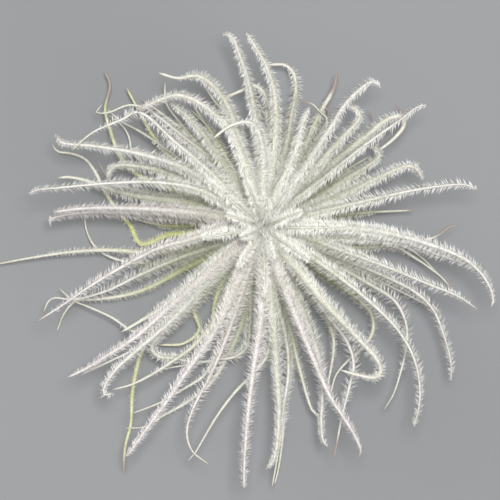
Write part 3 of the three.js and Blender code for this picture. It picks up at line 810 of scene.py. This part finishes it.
def bladeMaterial(speckle):
    # Pale scurf over green tissue, fine veins, painted shade on flanks and deep leaf bases, and a dry tip
    look = bladeFinish
    material, tree, shader = newMaterial("scurfyBlade", colours["scurf"])
    scurf = placeGroup(tree, speckle, *look["speckle"])
    strip = addNode(tree, "ShaderNodeUVMap", uv_map="OFBake").outputs["UV"]
    veins = noise(tree, vectors(tree, "MULTIPLY", {0: strip, 1: look["veinStretch"]}), 1.0, coarseDetail)
    change, least = look["veinGreen"]
    uneven = plus(tree, times(tree, veins, change), least)
    tissueShare = clamp(tree, times(tree, attributeOf(tree, "green"), uneven))
    # the newest leaves and the core are paler, partly as painted light on the shaded heart
    newest = maths(tree, "POWER", attributeOf(tree, "youngAndLit"), look["youngPower"])
    pale = blend(tree, newest, colours["scurf"], colours["youngLitScurf"])
    base = blend(tree, tissueShare, pale, colours["tissue"])
    base = blend(tree, times(tree, scurf["Mask"], look["dusting"]), base, pale)
    bald = less(tree, 1.0, scurf["Mask"])
    base = blend(tree, bald, base, colours["thinScurf"], "MULTIPLY")
    # painted shade on the flanks, which leaves the midrib bright
    base = blend(tree, flankShadeMask(tree, strip, newest), base, colours["flankShade"], "MULTIPLY")
    base = lilacAndPaintedShade(tree, base)
    base = blend(tree, attributeOf(tree, "dry"), base, colours["dryTip"])
    finish(tree, shader, base, scurf["Mask"], look)
    relief = plus(tree, times(tree, veins, look["veinRelief"]), scurf["Height"])
    raiseBump(tree, shader, relief, *look["bump"])
    return material


def hairMaterial(speckle):
    # White hairs with painted shade and a green tint at the root, and browner on dry tips
    look = hairFinish
    material, tree, shader = newMaterial("leafHair", colours["youngLitHair"])
    rise = ramp(tree, attributeOf(tree, "hairHeight"), 0.0, look["rootShadeShare"])
    youngAndLit = attributeOf(tree, "youngAndLit")
    tone = attributeOf(tree, "hairTone")
    tips = blend(tree, youngAndLit, colours["oldHair"], colours["youngLitHair"])
    # painted shade on the lower part of each hair
    base = blend(tree, rise, colours["hairRootShade"], tips)
    few = maths(tree, "POWER", tone, look["tonePower"])
    dull = times(tree, few, lessened(tree, youngAndLit, look["youngEase"]))
    base = blend(tree, dull, base, colours["dullHair"], "MULTIPLY")
    base = lilacAndPaintedShade(tree, base)
    patches = placeGroup(tree, speckle, *look["patches"])
    lowDown = less(tree, look["greenHeight"], rise)
    greener = clamp(tree, times(tree, attributeOf(tree, "green"), lowDown))
    tinted = times(tree, greener, less(tree, look["greenPatches"], patches["Mask"]))
    base = blend(tree, tinted, base, colours["tissue"])
    browner = times(tree, attributeOf(tree, "dry"), look["dryShare"])
    base = blend(tree, browner, base, colours["dryTip"])
    finish(tree, shader, base, tone, look)
    return material


def barkMaterial(speckle):
    # Dry brown stem with paler torn edges where old sheaths stood
    look = stemFinish
    material, tree, shader = newMaterial("dryStem", look["scale"])
    specks = placeGroup(tree, speckle, *look["speckle"])
    place = addNode(tree, "ShaderNodeTexCoord").outputs["Object"]
    fineness, drawnOut = look["fibres"]
    fibres = noise(tree, vectors(tree, "MULTIPLY", {0: place, 1: drawnOut}), fineness, fineDetail)
    torn = plus(tree, fibres, look["paleEdge"])
    paler = clamp(tree, times(tree, attributeOf(tree, "scaleEdge"), torn))
    base = blend(tree, paler, look["bark"], look["scale"])
    dusted = times(tree, specks["Mask"], look["dusting"])
    base = blend(tree, dusted, base, colours["scurf"])
    finish(tree, shader, base, fibres, look)
    raiseBump(tree, shader, fibres, *look["bump"])
    return material


speckleGroup = buildSpeckleGroup()
materials = {
    "blade": bladeMaterial(speckleGroup),
    "hair": hairMaterial(speckleGroup),
    "bark": barkMaterial(speckleGroup),
}
print("materials made")


# Stem and the heart's core: turned bodies with a lattice of sheath scales

# scale: depth of the gaps between the scales; rise: how steeply their spirals climb; outline: shares of the
# core's width and height; tints: what the blades' material reads on it
turnedShapes = {
    "stem": {"sides": 96, "rows": 70, "scale": 0.42, "rise": 0.75, "tints": {}},
    "core": {
        "sides": 72, "rows": 48, "scale": 0.3, "rise": 0.7,
        # the core takes the newest leaves' pale finish, partly as painted light on its shade
        "tints": {"green": 0.3, "youngAndLit": 0.9}, "gap": 0.3, "width": 4.6, "height": 9,
        "outline": [(1, 0.15), (1, 0.4), (0.75, 0.75), (0.35, 0.95), (0, 1)],
    },
}

# twist: spirals of scales each way; scaleFade: share of the radius where they start, and how steeply
turnedDetail = {"bevel": 0.6, "twist": (5, 3), "scaleFade": (0.4, 3)}


def turnedBody(name, profile, settings):
    # A closed body of revolution with overlapping scales
    sides, rows = settings["sides"], settings["rows"]
    profile = np.array(profile, float)
    length = lengthsAlong(profile)
    even = np.linspace(0, length[-1], rows)
    radius, height = (np.interp(even, length, profile[:, k])[:, None] for k in range(2))
    angle = np.arange(sides) * 2 * math.pi / sides
    first, second = turnedDetail["twist"]
    climb = settings["rise"] * height
    diamond = np.minimum(np.abs(np.sin(first * angle + climb)), np.abs(np.sin(second * angle - climb)))
    start, steepness = turnedDetail["scaleFade"]
    fade = np.clip((radius / radius.max() - start) * steepness, 0, 1)
    out = radius - settings["scale"] * (1 - np.sqrt(diamond)) * fade
    places = np.stack([out * np.cos(angle), out * np.sin(angle), np.repeat(height, sides, 1)], -1)
    points = places[1:-1].reshape(-1, 3).tolist() + [(0, 0, height[-1, 0]), (0, 0, height[0, 0])]
    ways = np.arange(1, rows - 1) / (rows - 1)
    faces, corners = ringFaces(ways, np.arange(sides + 1) / sides, (ways[0], ways[-1]))
    mesh = newMesh(name, points, faces, [(mark, way) for way, mark in corners])
    tints = {tint: np.full(len(points), value) for tint, value in settings["tints"].items()}
    writePoints(mesh, {"scaleEdge": diamond[1:-1].ravel().tolist() + [0, 0], **tints})
    return mesh


def stemProfile():
    foot, top = leafShape["stemRadius"]
    tall, bevel = leafShape["stemHeight"], turnedDetail["bevel"]
    return [(0, 0), (foot - bevel, 0), (foot, bevel), ((foot + top) / 2, tall / 2),
            (top, tall - bevel), (top - bevel, tall), (0, tall)]


def coreProfile():
    core = turnedShapes["core"]
    foot = leafShape["stemHeight"] + core["gap"]
    rise = [(core["width"] * out, foot + core["height"] * up) for out, up in core["outline"]]
    return [(0, foot), (leafShape["stemRadius"][1] - turnedDetail["bevel"], foot)] + rise


def addPiece(name, mesh, material):
    mesh.materials.append(materials[material])
    return newObject(name, mesh)


def standFor(holder, node):
    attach(holder, "root")
    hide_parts(node)


stemMesh = turnedBody("barkStem", stemProfile(), turnedShapes["stem"])
standFor(addPiece("barkStem", stemMesh, "bark"), "stem")
coreMesh = turnedBody("heartCore", coreProfile(), turnedShapes["core"])
standFor(addPiece("heartCore", coreMesh, "blade"), "heart")
print("stem and core made")


# Leaves: every blade with its hairs, one piece each

# root: the radii in leafShape where the heart's leaves start; depthShade: how much painted shade darkens the
# lower part, on the lowest and the topmost leaf; lilac: numbers of leaves with a lilac cast; paleEnds: of
# bright green ones that turn pale; bareEnds, dryEnds: by number, where the hairs end before the tip and a
# brown tip starts
leafGroups = {
    "hairyLeaf": {
        "arch": "outerArch", "root": None, "firstSeed": 0,
        "depthShade": (0.95, 0.38), "lilac": [50], "paleEnds": [3],
        "bareEnds": {25: 0.92, 30: 0.75, 34: 0.82, 37: 0.85, 38: 0.87, 40: 0.82, 41: 0.85, 42: 0.87, 46: 0.75,
            47: 0.84, 49: 0.6, 54: 0.82, 58: 0.82},
        "dryEnds": {2: 0.93, 4: 0.93, 12: 0.8, 14: 0.82, 18: 0.84, 20: 0.93, 23: 0.84, 27: 0.93, 28: 0.86,
            31: 0.86, 34: 0.84, 43: 0.9, 48: 0.84},
    },
    "innerLeaf": {
        "arch": "innerArch", "root": "innerRoot", "firstSeed": 100,
        "depthShade": (0.3, 0.0), "lilac": [8, 11, 17, 18, 21, 23, 24], "paleEnds": [],
        "bareEnds": {1: 0.87, 7: 0.92, 8: 0.87, 12: 1.0, 17: 1.0, 21: 0.95, 22: 1.02, 24: 1.0, 25: 0.9,
            27: 0.95, 30: 0.82},
        "dryEnds": {1: 0.9, 11: 0.96, 12: 0.96, 16: 0.96, 21: 0.95, 24: 0.945, 28: 0.955},
    },
    "budLeaf": {
        "arch": "budArch", "root": "budRoot", "firstSeed": 200,
        "depthShade": (0.0, 0.0), "lilac": [], "paleEnds": [], "bareEnds": {}, "dryEnds": {},
    },
}

# Tints along a blade: runs are in mm from the root, ways are shares of its length
leafTints = {
    "greenRun": (6, 45),
    "greenVary": (0.7, 1.2),
    "paleWay": ((0.5, 0.8), (1, 0.2)),  # way, and share of the green there
    "bareBefore": 0.93,  # leaves bare before this show some green there
    "bareFade": 0.05,
    "bareGreen": 0.22,
    "dryFrom": 0.985,  # on leaves with no dry end of their own
    "dryFade": 0.04,
    "dryVary": (0.75, 1),
    "youngRun": (8, 45),
    # painted shade on the lower part of the leaves: the run where it fades out, and how much of it shows on a
    # kind
    "depthShadeRun": (18, 42),
    "depthShadeKinds": {"vivid": 0.3},  # how much of it shows on a kind
}

budSettings = {
    "leaves": 13,
    "reach": (24, 7),
    "bow": 1.3,  # how far a leaf may bend aside
    "bowWave": 2.4,  # radians from each bend to the next
    "turn": 137.5,  # the golden angle
    "ways": (0.4, 0.7, 1),  # where its route has a point
}


def tintsOf(group, number, kind, ways, length, bareFrom, tier, random):
    own, tints = leafGroups[group], leafTints
    runs = ways * length
    green = np.interp(runs, tints["greenRun"], leafKinds[kind]["green"]) * random.uniform(*tints["greenVary"])
    if number in own["paleEnds"]:
        green *= np.interp(ways, *tints["paleWay"])
    if bareFrom < tints["bareBefore"]:
        around = (bareFrom - tints["bareFade"], bareFrom + tints["bareFade"])
        green = np.maximum(green, np.interp(ways, around, (0, tints["bareGreen"])))
    dryFrom = own["dryEnds"].get(number, tints["dryFrom"])
    dry = np.clip((ways - dryFrom) / tints["dryFade"], 0, 1) * random.uniform(*tints["dryVary"])
    # the newest part of each leaf, paler partly as painted light on the heart
    youngAndLit = np.ones(len(ways)) if group == "budLeaf" else np.interp(runs, tints["youngRun"], (1, 0))
    lilac = np.full(len(ways), float(number in own["lilac"]))
    # painted shade: strongest near the root of the lowest leaves, less on higher ones and on vivid ones
    deepestShade = mix(own["depthShade"], tier) * tints["depthShadeKinds"].get(kind, 1)
    old = np.interp(runs, tints["depthShadeRun"], (1, 0)) * deepestShade
    return {"green": np.clip(green, 0, 1), "dry": dry, "youngAndLit": youngAndLit, "lilac": lilac, "old": old}


def hairsOn(holder, kind, random):
    # Grows the hairs of one leaf and keeps the result as its mesh
    look = leafKinds[kind]
    modifier = holder.modifiers.new("hairs", "NODES")
    modifier.node_group = hairTree
    inputs = {
        "Density": millimetre**-2, "Tuft Size": hairSettings["tuftSize"] * millimetre,
        "Length": look["length"] * millimetre, "Width": look["width"] * millimetre,
        "Spread": look["spread"], "Clump": hairSettings["clump"], "Hair Material": materials["hair"],
        "Seed": random.randrange(hairSettings["seeds"]),
    }
    for socket in hairTree.interface.items_tree:
        if socket.in_out == "INPUT" and socket.name in inputs:
            modifier[socket.identifier] = inputs[socket.name]
    plainMesh(holder)


def growLeaf(group, number, kind, route, tier):
    own = leafGroups[group]
    name = f"{group}_{number:02d}"
    random = Random(own["firstSeed"] + number - 1)
    startRadius = mix(leafShape[own["root"]], tier) if own["root"] else outerStart(tier)
    line, along, run = midline(route, startRadius, own["arch"], tier)
    bareFrom = own["bareEnds"].get(number, leafKinds[kind]["bareFrom"])
    mesh, ways = bladeMesh(name, kind, line, along, run, bareFrom, random)
    writePoints(mesh, tintsOf(group, number, kind, ways, run[-1], bareFrom, tier, random))
    holder = addPiece(name, mesh, "blade")
    hairsOn(holder, kind, random)
    if own["root"]:
        standFor(holder, "heart")
    else:
        standFor(holder, f"leaf_{number:02d}")


def outerStart(tier):
    height, slope, _ = archOf("outerArch", tier)
    radius = mix(leafShape["stemRadius"], height / leafShape["stemHeight"])
    return radius + leafShape["rootGap"] + leafShape["thickness"][0] / 2 * math.sin(slope)


def budRoute(i):
    angle = i * budSettings["turn"] * degree
    radius = mix(budSettings["reach"], i / (budSettings["leaves"] - 1))
    bow = budSettings["bow"] * math.sin(budSettings["bowWave"] * i)
    route = []
    for way in budSettings["ways"]:
        ahead, aside = radius * way, bow * way**2
        route.append(ahead * math.cos(angle) - aside * math.sin(angle))
        route.append(ahead * math.sin(angle) + aside * math.cos(angle))
    return route


budLeaves = [("bud", *budRoute(i)) for i in range(budSettings["leaves"])]
for group, leaves in (("hairyLeaf", outerLeaves), ("innerLeaf", innerLeaves), ("budLeaf", budLeaves)):
    for i, (kind, *route) in enumerate(leaves):
        growLeaf(group, i + 1, kind, route, i / (len(leaves) - 1))
    print(group, "pieces grown:", len(leaves))
